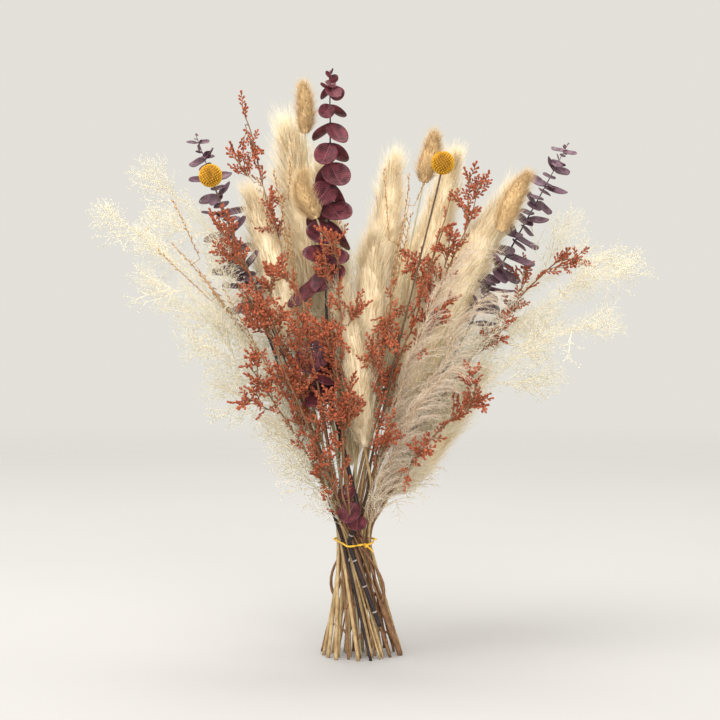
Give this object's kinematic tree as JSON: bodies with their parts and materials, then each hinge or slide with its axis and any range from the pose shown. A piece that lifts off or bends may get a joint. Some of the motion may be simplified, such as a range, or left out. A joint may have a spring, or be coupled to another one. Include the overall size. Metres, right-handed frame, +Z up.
{
  "type": "bundle of pampas grass",
  "caption": "Upright hand-tied bundle of dried pampas plumes with filler grasses, sea lavender, eucalyptus and button flowers, for a vase or table display.",
  "frame": {"origin": "on the surface, under the middle of the bundle's bounding box", "axes": "+Z up along the stems; the front, with the tie's knot, faces -Y; +X to the right seen from the front"},
  "size_m": [0.4076, 0.2214, 0.4466],
  "materials": {
    "pampas": "dry silky plume, dull",
    "reed": "dry feathery plume, faint silver sheen",
    "airy": "dry hair-fine grass, dull",
    "limonium": "dry papery florets, dull",
    "eucalyptus": "preserved leaf, soft sheen with a pale bloom",
    "stalk": "dry thin stalk, dull",
    "billy_button": "dry packed florets, dull",
    "bunny_tail": "soft fur of fine hairs, dull",
    "seed_spike": "dry husks, dull",
    "tie": "dyed raffia, faint sheen"
  },
  "bodies": {
    "root": {"airy_back": "airy", "airy_left_far": "airy", "airy_left_front": "airy", "airy_left_high": "airy", "airy_left_low": "airy", "airy_right_far": "airy", "airy_right_front": "airy", "airy_right_high": "airy", "billy_button_left": "billy_button", "billy_button_left_stem": "stalk", "billy_button_right": "billy_button", "billy_button_right_stem": "stalk", "bunny_tail_left": "bunny_tail", "bunny_tail_middle": "bunny_tail", "bunny_tail_right": "bunny_tail", "bunny_tail_tall": "bunny_tail", "eucalyptus_left": "eucalyptus", "eucalyptus_middle": "eucalyptus", "eucalyptus_right": "eucalyptus", "limonium_back_left": "limonium", "limonium_back_right": "limonium", "limonium_front": "limonium", "limonium_left_front": "limonium", "limonium_left_inner": "limonium", "limonium_left_long": "limonium", "limonium_left_low": "limonium", "limonium_left_tall": "limonium", "limonium_middle": "limonium", "limonium_middle_right": "limonium", "limonium_right": "limonium", "limonium_right_far": "limonium", "limonium_right_low": "limonium", "limonium_right_tall": "limonium", "pampas_back_left": "pampas", "pampas_back_low": "pampas", "pampas_back_right": "pampas", "pampas_front": "pampas", "pampas_inner_left": "pampas", "pampas_left": "pampas", "pampas_left_tall": "pampas", "pampas_low_right": "pampas", "pampas_middle": "pampas", "pampas_right": "pampas", "pampas_right_tall": "pampas", "pampas_tall": "pampas", "reed_back_left": "reed", "reed_right": "reed", "reed_right_low": "reed", "reed_right_tall": "reed", "spike_left": "seed_spike", "spike_left_low": "seed_spike", "spike_right": "seed_spike", "tie": "tie"}
  },
  "joints": []
}
